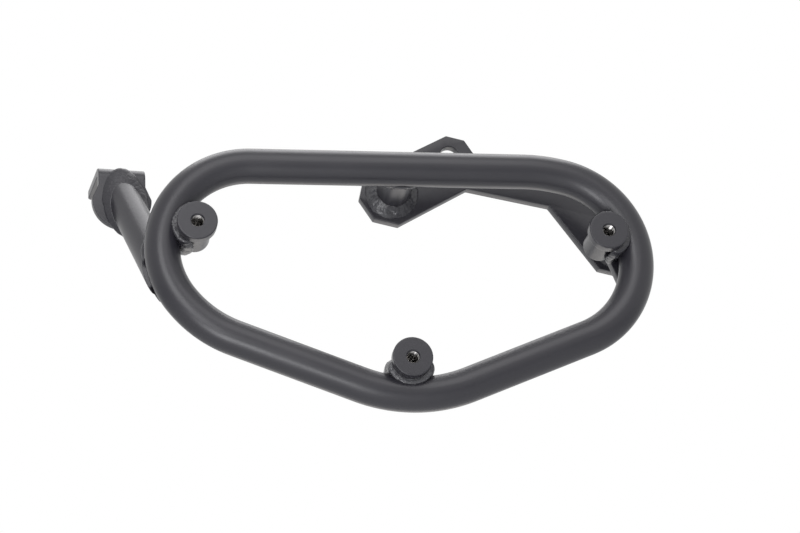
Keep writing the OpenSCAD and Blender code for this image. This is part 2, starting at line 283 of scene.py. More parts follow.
def around_tube(line_from, axis, r, cut=None):
    """Distance rule of a straight round tube, which a cut plane may begin."""
    axis = unit(axis)

    def distance(points):
        v = points - line_from
        off = np.linalg.norm(v - (v @ axis)[:, None] * axis, axis=1) - r
        if cut is None:
            return off
        before = np.maximum(-(points - cut[0]) @ cut[1], 0)
        return np.where(before > 0, np.hypot(np.maximum(off, 0), before), off)

    return distance


def before_face(point, normal):
    """Distance rule of a flat face."""

    def distance(points):
        return (points - point) @ normal

    return distance


def off_loop(points):
    """Distance from the loop tube's surface."""
    return np.linalg.norm(from_line(points), axis=1) - LOOP_R


def weld(
    seam,
    out,
    gap_a,
    gap_b,
    sizes,
    pitch,
    seed,
    power=2.0,
    spread=1.75,
    grow=None,
    dents=(),
    stop_at=None,
):
    """Weld that fills the valley between two surfaces, along a closed seam.

    Rays leave the seam on both sides of the valley's direction. Each ends where its distances from
    the two surfaces, measured in the weld's two sizes, together reach one, or inside the steel, or
    at the face of a further rule. The faces between the rings close through the steel.
    """
    step = np.linalg.norm(np.roll(seam, -1, 0) - seam, axis=1)
    length = step.sum()
    at = np.concatenate([[0.0], np.cumsum(step)])
    ripples = max(5, round(length / pitch))
    count = max(160, ripples * 10)
    wanted = np.linspace(0, length, count, endpoint=False)

    def spaced(values):
        closed = np.vstack([values, values[:1]])
        return np.stack([np.interp(wanted, at, closed[:, k]) for k in range(3)], 1)

    seam, out = spaced(seam), spaced(out)
    forward = unit(np.roll(seam, -1, 0) - np.roll(seam, 1, 0))
    out = unit(out - (out * forward).sum(1)[:, None] * forward)
    across = np.cross(forward, out)
    columns, stops = 34, 64
    inside_steel, before_stop = -0.7, 0.1
    fan = np.linspace(-spread, spread, columns)
    ways = np.cos(fan)[None, :, None] * out[:, None, :] + np.sin(fan)[None, :, None] * across[:, None, :]
    ways = ways.reshape(-1, 3)
    start = np.repeat(seam, columns, 0)
    wave = np.abs(np.sin(math.pi * ripples * wanted / length)) ** 0.8
    full = np.empty(count)
    for k, p in enumerate(seam):
        slow = noise.noise(Vector(p * 0.13) + Vector((seed, 0, 0)))
        quick = noise.noise(Vector(p * 0.33) + Vector((0, seed, 5)))
        full[k] = 1 + 0.16 * slow + 0.08 * quick + 0.025 * (wave[k] - 0.6)
    if grow is not None:
        full *= grow(seam)
    full = np.repeat(full, columns)
    travel = np.linspace(0, 2.4 * max(sizes), stops)
    ends = np.zeros(len(start))
    before = np.zeros(len(start))
    running = np.ones(len(start), bool)
    for k, t in enumerate(travel[1:], 1):
        q = start[running] + ways[running] * t
        a, b = gap_a(q), gap_b(q)
        share_a, share_b = np.maximum(a, 0) / sizes[0], np.maximum(b, 0) / sizes[1]
        filled = (share_a**power + share_b**power) ** (1 / power)
        over = filled / full[running]
        share = np.clip((1 - before[running]) / np.maximum(over - before[running], 1e-6), 0, 1)
        stop = (over >= 1) | (np.minimum(a, b) < inside_steel)
        if stop_at is not None:
            stop |= stop_at(q) < before_stop
        index = np.nonzero(running)[0]
        ends[index] = travel[k - 1] + np.where(over >= 1, share, 1.0) * (t - travel[k - 1])
        before[index] = over
        running[index[stop]] = False
        if not running.any():
            break
    points = start + ways * ends[:, None]
    size = min(sizes)
    for k, q in enumerate(points):
        v = Vector(q)
        pit = noise.noise(v * 0.55 + Vector((seed, seed, 0)))
        grain = noise.noise(v * 1.5 + Vector((0, 3, seed)))
        points[k] = q + ways[k] * (0.045 * size * pit + 0.018 * size * grain)
    for place, reach, depth in dents:
        away = np.linalg.norm(points - place, axis=1)
        near = np.exp(-((away / reach) ** 2))
        lip = np.exp(-(((away - 1.5 * reach) / (0.45 * reach)) ** 2))
        points += ways * (0.22 * depth * lip - depth * near)[:, None]
    return points.reshape(count, columns, 3)


def rounded(corners, radius, steps=6):
    """Outline with a small radius at each corner."""
    out = []
    count = len(corners)
    for i in range(count):
        before, p, after = corners[i - 1], corners[i], corners[(i + 1) % count]
        a, b = unit(before - p), unit(after - p)
        half = math.acos(max(-1.0, min(1.0, float(a @ b)))) / 2
        reach = min(
            radius / math.tan(half),
            0.45 * np.linalg.norm(before - p),
            0.45 * np.linalg.norm(after - p),
        )
        r = reach * math.tan(half)
        centre = p + unit(a + b) * (r / math.sin(half))
        u, v = (p + a * reach) - centre, (p + b * reach) - centre
        sweep = math.atan2(u[0] * v[1] - u[1] * v[0], float(u @ v))
        for k in range(steps + 1):
            t = sweep * k / steps
            out.append(
                centre
                + np.array([u[0] * math.cos(t) - u[1] * math.sin(t), u[0] * math.sin(t) + u[1] * math.cos(t)])
            )
    return out


def round_hole(centre, r, columns=72):
    """Circle as an outline."""
    return [
        np.array([centre[0] + r * math.cos(t), centre[1] + r * math.sin(t)])
        for t in np.linspace(0, 2 * math.pi, columns, endpoint=False)
    ]


def cut_sheet(outlines, thickness, edge):
    """Flat sheet with softly rounded edges, as a mesh in millimetres around z = 0."""
    curve = bpy.data.curves.new("sheet_outline", "CURVE")
    curve.dimensions = "2D"
    curve.fill_mode = "BOTH"
    for outline in outlines:
        spline = curve.splines.new("POLY")
        spline.points.add(len(outline) - 1)
        for point, p in zip(spline.points, outline):
            point.co = (p[0], p[1], 0.0, 1.0)
        spline.use_cyclic_u = True
    curve.extrude = thickness / 2 - edge
    curve.bevel_depth = edge
    curve.bevel_resolution = 3
    curve.offset = -edge
    holder = bpy.data.objects.new("sheet_outline", curve)
    mesh = bpy.data.meshes.new_from_object(holder)
    bpy.data.objects.remove(holder)
    bpy.data.curves.remove(curve)
    return mesh


def moved_points(mesh, rule):
    """Moves every vertex of a mesh by a rule that takes and gives arrays in millimetres."""
    co = np.empty(len(mesh.vertices) * 3)
    mesh.vertices.foreach_get("co", co)
    co = rule(co.reshape(-1, 3)) * MM
    mesh.vertices.foreach_set("co", co.ravel())
    mesh.update()


def lug_corner(place, flats, i):
    """Corner of an eight-sided lug."""
    turn = LUG_TURN + 22.5 + 45 * (i - 1)
    r = flats / 2 / cos_d(22.5)
    return np.array([place[0] + r * cos_d(turn), place[1] + r * sin_d(turn)])


def along(p, turn, s):
    """Point at a distance from another, in a direction."""
    return np.array([p[0] + s * cos_d(turn), p[1] + s * sin_d(turn)])


def plate_outline():
    """Outline of the rear plate."""
    inner = np.array([7.5, -17.1])
    arm_turn, arm_w = -11.5, 16.0
    knee = along(inner, arm_turn, 40.1)
    rear_in, rear_out = lug_corner(REAR_AT, REAR_LUG, 5), lug_corner(REAR_AT, REAR_LUG, 1)
    leg_turn = math.degrees(math.atan2(rear_in[1] - knee[1], rear_in[0] - knee[0]))
    leg_w = np.linalg.norm(rear_out - rear_in) * sin_d(LUG_TURN + 22.5 - leg_turn)
    bend = arm_turn - leg_turn
    gain = (leg_w - arm_w * cos_d(bend)) / sin_d(bend)
    hole_lug = (0.7, -1.5)
    lug_right = lug_corner(hole_lug, HOLE_LUG, 1)
    top, down = LUG_TURN - 90, along(inner, arm_turn + 90, arm_w) - lug_right
    drop = (down[0] * sin_d(arm_turn) - down[1] * cos_d(arm_turn)) / sin_d(arm_turn - top)
    return [
        *[lug_corner(UPPER_AT, UPPER_LUG, i) for i in (3, 4, 5, 6)],
        inner,
        knee,
        rear_in,
        *[lug_corner(REAR_AT, REAR_LUG, i) for i in (6, 7, 8)],
        rear_out,
        along(along(knee, arm_turn + 90, arm_w), arm_turn, gain),
        along(lug_right, top, drop),
        lug_right,
        lug_corner(hole_lug, HOLE_LUG, 2),
    ]


# Finishes


def new_group(name, inputs, outputs):
    """Empty shader node group with named sockets."""
    group = bpy.data.node_groups.new(name, "ShaderNodeTree")
    for label, kind, value in inputs:
        socket = group.interface.new_socket(name=label, in_out="INPUT", socket_type=kind)
        socket.default_value = value
    for label, kind in outputs:
        group.interface.new_socket(name=label, in_out="OUTPUT", socket_type=kind)
    return group, group.nodes.new("NodeGroupInput"), group.nodes.new("NodeGroupOutput")


def coat_group():
    """Powder coat: cloudy colour, uneven gloss and the fine orange peel."""
    group = bpy.data.node_groups.get("Powder coat grain")
    if group:
        return group
    group, given, result = new_group(
        "Powder coat grain",
        [
            ("Color", "NodeSocketColor", (0.02, 0.02, 0.02, 1)),
            ("Pale Color", "NodeSocketColor", (0.05, 0.05, 0.05, 1)),
            ("Roughness", "NodeSocketFloat", 0.45),
            ("Grain Size", "NodeSocketFloat", 1.0),
            ("Speck Amount", "NodeSocketFloat", 0.3),
            ("Burnt Amount", "NodeSocketFloat", 0.0),
        ],
        [("Color", "NodeSocketColor"), ("Roughness", "NodeSocketFloat"), ("Height", "NodeSocketFloat")],
    )
    node, link = group.nodes.new, group.links.new
    place = node("ShaderNodeTexCoord")
    spread = node("ShaderNodeVectorMath")
    spread.operation = "DIVIDE"
    join = node("ShaderNodeCombineXYZ")
    for k in range(3):
        link(given.outputs["Grain Size"], join.inputs[k])
    link(place.outputs["Object"], spread.inputs[0])
    link(join.outputs[0], spread.inputs[1])

    def clouds(scale, detail):
        noise_node = node("ShaderNodeTexNoise")
        noise_node.inputs["Scale"].default_value = scale
        noise_node.inputs["Detail"].default_value = detail
        link(spread.outputs[0], noise_node.inputs["Vector"])
        return noise_node.outputs["Fac"]

    def math_node(kind, a, b, c=None):
        m = node("ShaderNodeMath")
        m.operation = kind
        for k, v in enumerate((a, b, c)):
            if v is None:
                continue
            if isinstance(v, (int, float)):
                m.inputs[k].default_value = v
            else:
                link(v, m.inputs[k])
        return m.outputs[0]

    peel, swell, cloud = clouds(1500.0, 3.0), clouds(380.0, 2.0), clouds(45.0, 3.0)
    patch, crust = clouds(85.0, 1.0), clouds(1100.0, 4.0)
    edge = node("ShaderNodeMapRange")
    edge.interpolation_type = "SMOOTHSTEP"
    edge.inputs["From Min"].default_value = 0.56
    edge.inputs["From Max"].default_value = 0.66
    link(patch, edge.inputs["Value"])
    burnt = math_node("MULTIPLY", edge.outputs["Result"], given.outputs["Burnt Amount"])
    height = math_node("MULTIPLY_ADD", swell, 1.3, peel)
    link(math_node("MULTIPLY_ADD", math_node("MULTIPLY", burnt, crust), 9.0, height), result.inputs["Height"])
    gloss = math_node("MULTIPLY_ADD", cloud, 0.12, -0.06)
    gloss = math_node("ADD", gloss, given.outputs["Roughness"])
    fine = math_node("MULTIPLY_ADD", peel, 0.10, -0.05)
    gloss = math_node("ADD", gloss, fine)
    link(math_node("MULTIPLY_ADD", burnt, -0.07, gloss), result.inputs["Roughness"])
    speck = node("ShaderNodeTexVoronoi")
    speck.inputs["Scale"].default_value = 420.0
    link(spread.outputs[0], speck.inputs["Vector"])
    near = math_node("LESS_THAN", speck.outputs["Distance"], 0.12)
    rare = math_node("GREATER_THAN", speck.outputs["Color"], 0.86)
    dots = math_node("MULTIPLY", math_node("MULTIPLY", near, rare), given.outputs["Speck Amount"])
    pale = math_node("MULTIPLY_ADD", cloud, 0.30, dots)
    pale = math_node("MULTIPLY_ADD", burnt, crust, pale)
    mix = node("ShaderNodeMix")
    mix.data_type = "RGBA"
    link(pale, mix.inputs["Factor"])
    link(given.outputs["Color"], mix.inputs["A"])
    link(given.outputs["Pale Color"], mix.inputs["B"])
    link(mix.outputs["Result"], result.inputs["Color"])
    return group


def coat(name, color, pale, roughness, grain, specks, burnt, bump, depth):
    """Coated steel with its own grain values."""
    material = bpy.data.materials.new(name)
    material.use_nodes = True
    nodes, link = material.node_tree.nodes, material.node_tree.links.new
    shader = nodes["Principled BSDF"]
    grainy = nodes.new("ShaderNodeGroup")
    grainy.node_tree = coat_group()
    grainy.inputs["Color"].default_value = (*color, 1)
    grainy.inputs["Pale Color"].default_value = (*pale, 1)
    grainy.inputs["Roughness"].default_value = roughness
    grainy.inputs["Grain Size"].default_value = grain
    grainy.inputs["Speck Amount"].default_value = specks
    grainy.inputs["Burnt Amount"].default_value = burnt
    raised = nodes.new("ShaderNodeBump")
    raised.inputs["Strength"].default_value = bump
    raised.inputs["Distance"].default_value = depth
    link(grainy.outputs["Height"], raised.inputs["Height"])
    link(raised.outputs["Normal"], shader.inputs["Normal"])
    link(grainy.outputs["Color"], shader.inputs["Base Color"])
    link(grainy.outputs["Roughness"], shader.inputs["Roughness"])
    shader.inputs["IOR"].default_value = 1.5
    return material


def tube_coat(context):
    """Satin black powder coat of the tubes and plates."""
    made = bpy.data.materials.get("satin_black_coat")
    look = context.scene.frame_finish
    return made or coat(
        "satin_black_coat",
        look.coat_color,
        look.coat_pale_color,
        look.coat_roughness,
        grain=1.0,
        specks=0.25,
        burnt=0.0,
        bump=look.peel_strength,
        depth=look.peel_depth,
    )


def bead_coat(context):
    """The same coat run over the weld beads, a little shinier."""
    made = bpy.data.materials.get("black_coat_on_welds")
    look = context.scene.frame_finish
    return made or coat(
        "black_coat_on_welds",
        look.coat_color,
        look.bead_pale_color,
        look.bead_roughness,
        grain=1.6,
        specks=0.5,
        burnt=1.0,
        bump=0.5,
        depth=look.peel_depth * 2,
    )


def thread_steel(context):
    """Bare cut steel inside the threads."""
    material = bpy.data.materials.get("cut_thread_steel")
    if material:
        return material
    material = bpy.data.materials.new("cut_thread_steel")
    material.use_nodes = True
    nodes, link = material.node_tree.nodes, material.node_tree.links.new
    shader = nodes["Principled BSDF"]
    shader.inputs["Base Color"].default_value = (*context.scene.frame_finish.steel_color, 1)
    shader.inputs["Metallic"].default_value = 1.0
    place = nodes.new("ShaderNodeTexCoord")
    scratch = nodes.new("ShaderNodeTexNoise")
    scratch.inputs["Scale"].default_value = 2600.0
    spread = nodes.new("ShaderNodeMapRange")
    spread.inputs["To Min"].default_value = 0.10
    spread.inputs["To Max"].default_value = 0.26
    link(place.outputs["Object"], scratch.inputs["Vector"])
    link(scratch.outputs["Fac"], spread.inputs["Value"])
    link(spread.outputs["Result"], shader.inputs["Roughness"])
    return material


# Settings


class FRAME_PG_sizes(bpy.types.PropertyGroup):
    """Sizes of the frame's pieces"""

    tube_d: bpy.props.FloatProperty(
        name="Tube diameter", description="Outside diameter of the tubes", default=0.016, unit="LENGTH"
    )
    tube_wall: bpy.props.FloatProperty(
        name="Tube wall", description="Wall of the stand-off tubes", default=0.002, unit="LENGTH"
    )
    boss_head_d: bpy.props.FloatProperty(
        name="Boss head", description="Diameter of a boss head", default=0.018, unit="LENGTH"
    )
    boss_shank_d: bpy.props.FloatProperty(
        name="Boss shank", description="Diameter of a boss shank", default=0.014, unit="LENGTH"
    )
    thread_d: bpy.props.FloatProperty(
        name="Thread", description="Nominal diameter of the thread", default=0.006, unit="LENGTH"
    )
    thread_pitch: bpy.props.FloatProperty(
        name="Thread pitch", description="Distance between two turns", default=0.001, unit="LENGTH"
    )
    sheet_t: bpy.props.FloatProperty(
        name="Sheet thickness", description="Thickness of plate and gusset", default=0.005, unit="LENGTH"
    )
    foot_t: bpy.props.FloatProperty(
        name="Foot thickness", description="Thickness of the folded foot", default=0.004, unit="LENGTH"
    )
    edge: bpy.props.FloatProperty(
        name="Edge rounding", description="Rounding of the coated edges", default=0.00045, unit="LENGTH"
    )
    bead_w: bpy.props.FloatProperty(
        name="Tube bead",
        description="Size of the welds between tube and tube",
        default=0.0026,
        unit="LENGTH",
    )
    ring_w: bpy.props.FloatProperty(
        name="Plate bead", description="Size of the welds on the plate", default=0.0048, unit="LENGTH"
    )
    boss_bead_w: bpy.props.FloatProperty(
        name="Boss bead",
        description="Size of the welds between boss and tube",
        default=0.0043,
        unit="LENGTH",
    )
    foot_bead_w: bpy.props.FloatProperty(
        name="Foot bead",
        description="Size of the weld between foot and tube",
        default=0.0027,
        unit="LENGTH",
    )
    bead_pitch: bpy.props.FloatProperty(
        name="Bead ripple", description="Distance between two ripples", default=0.0019, unit="LENGTH"
    )


class FRAME_PG_finish(bpy.types.PropertyGroup):
    """Colours and gloss of the frame"""

    coat_color: bpy.props.FloatVectorProperty(
        name="Coat",
        description="Colour of the powder coat",
        default=(0.0145, 0.0138, 0.018),
        subtype="COLOR",
    )
    coat_pale_color: bpy.props.FloatVectorProperty(
        name="Pale coat",
        description="Colour of the coat's pale clouds",
        default=(0.023, 0.022, 0.0275),
        subtype="COLOR",
    )
    bead_pale_color: bpy.props.FloatVectorProperty(
        name="Pale bead",
        description="Colour of the pale places on the welds",
        default=(0.07, 0.07, 0.075),
        subtype="COLOR",
    )
    steel_color: bpy.props.FloatVectorProperty(
        name="Cut steel",
        description="Colour of the bare thread",
        default=(0.34, 0.33, 0.32),
        subtype="COLOR",
    )
    coat_roughness: bpy.props.FloatProperty(
        name="Coat roughness", description="Roughness of the powder coat", default=0.33, subtype="FACTOR"
    )
    bead_roughness: bpy.props.FloatProperty(
        name="Bead roughness",
        description="Roughness of the coat on the welds",
        default=0.24,
        subtype="FACTOR",
    )
    peel_strength: bpy.props.FloatProperty(
        name="Peel strength", description="Strength of the orange peel", default=0.35, subtype="FACTOR"
    )
    peel_depth: bpy.props.FloatProperty(
        name="Peel depth", description="Depth of the orange peel", default=0.00005, unit="LENGTH"
    )


# Pieces


class FRAME_OT_loop(bpy.types.Operator):
    """Bent loop of round tube"""

    bl_idname = "pannier_frame.loop"
    bl_label = "Loop tube"

    def execute(self, context):
        r = context.scene.frame_sizes.tube_d / 2 / MM
        points, outward = loop_line(1.4)
        columns = 80
        around = np.linspace(0, 2 * math.pi, columns, endpoint=False)
        rows = [
            p + np.outer(np.cos(around), n) * r + np.outer(np.sin(around), [0.0, 1.0, 0.0]) * r
            for p, n in zip(points, outward)
        ]
        faces = grid_faces(len(points), columns)
        points = np.concatenate(rows)
        add_piece("loop_tube_coated", points, faces, [tube_coat(context)], ["loop_tube"])
        return {"FINISHED"}


class FRAME_OT_bosses(bpy.types.Operator):
    """Headed bosses with their threads"""

    bl_idname = "pannier_frame.bosses"
    bl_label = "Threaded bosses"

    def execute(self, context):
        sizes = context.scene.frame_sizes
        head_r, shank_r = sizes.boss_head_d / 2 / MM, sizes.boss_shank_d / 2 / MM
        tube_r = sizes.tube_d / 2 / MM
        crest, pitch = 2.5, sizes.thread_pitch / MM
        root = sizes.thread_d / 2 / MM
        sink = 0.7
        mouth = crest + sink
        length, soft = 22.0, 0.45
        quarter = np.linspace(0, math.pi / 2, 6)
        outer = [(mouth, 0.0), ((mouth + head_r) / 2, 0.0), (head_r - soft - 0.3, 0.0)]
        outer += [(head_r - soft + soft * math.sin(a), soft - soft * math.cos(a)) for a in quarter]
        outer += [(head_r, 1.5), (head_r, 3.5)]
        outer += [(head_r - soft + soft * math.cos(a), HEAD_T - soft + soft * math.sin(a)) for a in quarter]
        outer += [(shank_r + 0.05, HEAD_T), (shank_r, HEAD_T + 0.05)]
        outer += [(shank_r, y) for y in np.linspace(HEAD_T + 0.4, length - soft - 0.3, 40)]
        outer += [(shank_r - soft + soft * math.cos(a), length - soft + soft * math.sin(a)) for a in quarter]
        outer += [((mouth + shank_r) / 2, length), (mouth, length)]
        inner_y = np.arange(length - sink, sink, -pitch / 10)
        outer_count = len(outer)
        levels = np.array([y for _, y in outer] + list(inner_y))
        columns = 96
        around = np.linspace(0, 2 * math.pi, columns, endpoint=False)
        for name, place in BOSS_PLACES.items():
            front = in_space(place, -BOSS_FRONT)
            ways = np.stack([np.cos(around), np.zeros(columns), np.sin(around)], 1)
            rings = []
            for k, y in enumerate(levels):
                base = front + np.array([0.0, y, 0.0])
                if k < outer_count:
                    radii = np.full(columns, outer[k][0])
                    if y > HEAD_T and outer[k][0] > shank_r - soft - 0.01:
                        starts = np.repeat(base[None, :], columns, 0)
                        limit = crossing(starts, ways, mouth, shank_r + 0.2, tube_r, False)
                        radii = np.minimum(radii, limit)
                else:
                    turn = (y / pitch - around / (2 * math.pi)) % 1.0
                    ridge = np.clip(np.abs(turn - 0.5) * 2.5 - 0.15, 0, 1)
                    radii = crest + (root - crest) * ridge
                rings.append(base + ways * radii[:, None])
            faces = grid_faces(len(levels), columns)
            piece = add_piece(
                name + "_coated",
                np.concatenate(rings),
                faces,
                [tube_coat(context), thread_steel(context)],
                [name],
            )
            for face in piece.data.polygons:
                corners = [piece.data.vertices[k].co for k in face.vertices]
                out = max(math.hypot(c[0] - front[0] * MM, c[2] - front[2] * MM) for c in corners)
                deep = min(c[1] for c in corners) > (front[1] + 0.3) * MM
                face.material_index = 1 if deep and out < (root + 0.05) * MM else 0
        return {"FINISHED"}


class FRAME_OT_plate(bpy.types.Operator):
    """Laser-cut rear plate with its bolt hole"""

    bl_idname = "pannier_frame.plate"
    bl_label = "Rear plate"

    def execute(self, context):
        sizes = context.scene.frame_sizes
        thickness, edge = sizes.sheet_t / MM, sizes.edge / MM
        mesh = cut_sheet([rounded(plate_outline(), 0.9), round_hole((0, 0), BOLT_R)], thickness, edge)
        moved_points(mesh, lambda co: np.stack([co[:, 0], -thickness / 2 + co[:, 2], co[:, 1]], 1))
        place_mesh("rear_plate_coated", mesh, [tube_coat(context)], ["rear_plate"])
        return {"FINISHED"}


class FRAME_OT_gusset(bpy.types.Operator):
    """Small tab behind the tube"""

    bl_idname = "pannier_frame.gusset"
    bl_label = "Gusset"

    def execute(self, context):
        sizes = context.scene.frame_sizes
        thickness, edge = sizes.sheet_t / MM, sizes.edge / MM
        left = np.array([RIGHT_BEND[0] + 30.8, RIGHT_BEND[1] + 3.0])
        right = left + np.array([18.0, 0.0])
        tip = along(RIGHT_BEND[:2], -15.0, 43.7)
        r = 6.0
        outline = [left]
        for corner, side in ((left, -1), (right, 1)):
            away = tip - corner
            d = np.linalg.norm(away)
            turn = math.degrees(math.atan2(away[1], away[0]) + side * math.asin(r / d))
            outline.append(along(corner, turn, math.sqrt(d * d - r * r)))
        start = math.atan2(*(outline[1] - tip)[::-1])
        end = math.atan2(*(outline[2] - tip)[::-1])
        end += 2 * math.pi if end < start else 0
        arc = [tip + r * np.array([math.cos(t), math.sin(t)]) for t in np.linspace(start, end, 24)]
        outline = [left, *arc, right]
        mesh = cut_sheet([outline], thickness, edge)
        front = LOOP_Y + sizes.tube_d / 2 / MM - 0.4
        moved_points(mesh, lambda co: np.stack([co[:, 0], front + thickness / 2 + co[:, 2], co[:, 1]], 1))
        place_mesh("tube_gusset_coated", mesh, [tube_coat(context)], ["tube_gusset"])
        return {"FINISHED"}


class FRAME_OT_foot(bpy.types.Operator):
    """Folded front foot with a round end"""

    bl_idname = "pannier_frame.foot"
    bl_label = "Front foot"

    def execute(self, context):
        sizes = context.scene.frame_sizes
        t, edge = sizes.foot_t / MM, sizes.edge / MM
        disc_r, shoulder, half_w = 13.85, 7.1, 11.0
        top, fold_r, depth, corner = 17.1, 2.0, 34.2, 2.0
        out_r = fold_r + t
        flat_r = fold_r + t / 2
        fold_z = top - out_r
        back = depth - out_r
        fold_end = fold_z + flat_r * math.pi / 2
        foot = np.array([disc_r + 0.3, 0.0])
        flank = np.array([half_w, shoulder]) - foot
        a, b, c = flank @ flank, 2 * (flank @ foot), foot @ foot - disc_r**2
        meet = foot + flank * (-b - math.sqrt(b * b - 4 * a * c)) / (2 * a)
        join = math.atan2(meet[1], meet[0])
        arc = np.linspace(math.pi - join, 2 * math.pi + join, 90)
        disc = [disc_r * np.array([math.cos(a), math.sin(a)]) for a in arc]
        upper = [
            np.array([half_w, shoulder]),
            np.array([half_w, fold_end + back]),
            np.array([-half_w, fold_end + back]),
            np.array([-half_w, shoulder]),
        ]
        upper = [upper[0], *rounded(upper, corner, 10)[11:33], upper[3]]
        hole_at = (0.0, fold_end + (out_r + depth) / 2 - out_r)
        mesh = cut_sheet([[*disc, *upper], round_hole(hole_at, BOLT_R)], t, edge)
        shape = bmesh.new()
        shape.from_mesh(mesh)
        for z in np.linspace(fold_z, fold_end, 19):
            everything = list(shape.verts) + list(shape.edges) + list(shape.faces)
            bmesh.ops.bisect_plane(shape, geom=everything, plane_co=(0, z, 0), plane_no=(0, 1, 0))
        shape.to_mesh(mesh)
        shape.free()

        def fold(co):
            x, v, d = co[:, 0], co[:, 1], t / 2 - co[:, 2]
            r = out_r - d
            angle = np.clip((v - fold_z) / flat_r, 0, math.pi / 2)
            y = np.where(v < fold_z, d, out_r - r * np.cos(angle) + np.maximum(v - fold_end, 0))
            z = np.where(v < fold_z, v, fold_z + r * np.sin(angle))
            cy, sy = math.cos(FOOT_YAW), math.sin(FOOT_YAW)
            return np.stack([x * cy - y * sy, x * sy + y * cy, z], 1) + FOOT_AT

        moved_points(mesh, fold)
        place_mesh("front_foot_coated", mesh, [tube_coat(context)], ["front_foot"], 32.0)
        return {"FINISHED"}


class FRAME_OT_standoffs(bpy.types.Operator):
    """Stand-off tubes, coped to the loop"""

    bl_idname = "pannier_frame.standoffs"
    bl_label = "Stand-offs"

    def execute(self, context):
        sizes = context.scene.frame_sizes
        r = sizes.tube_d / 2 / MM
        radii = (r, r - sizes.tube_wall / MM)

        def coped(origin, square, least):
            return lambda base, axis: cope(base, axis, origin, square, least, r)

        def at_plate(base, axis):
            return np.full(len(base), PLATE_GAP)

        def at_foot(base, axis):
            return ((FOOT_AT - base) @ FOOT_FACE) / (axis @ FOOT_FACE)

        slant = unit(FRONT_TOP - FRONT_LOW)
        for name, origin, axis, square, least, end in (
            ("upper_standoff", in_space(UPPER_AT), BACK, BACK, COPE_CUT, at_plate),
            ("rear_standoff", in_space(REAR_AT), BACK, BACK, COPE_CUT, at_plate),
            ("front_standoff", FRONT_LOW, slant, square_to_loop(slant, FRONT_TURN), FRONT_CUT, at_foot),
        ):
            points, faces = tube_between(origin, axis, radii, coped(origin, square, least), end)
            add_piece(name + "_coated", points, faces, [tube_coat(context)], [name], 50.0)
        return {"FINISHED"}


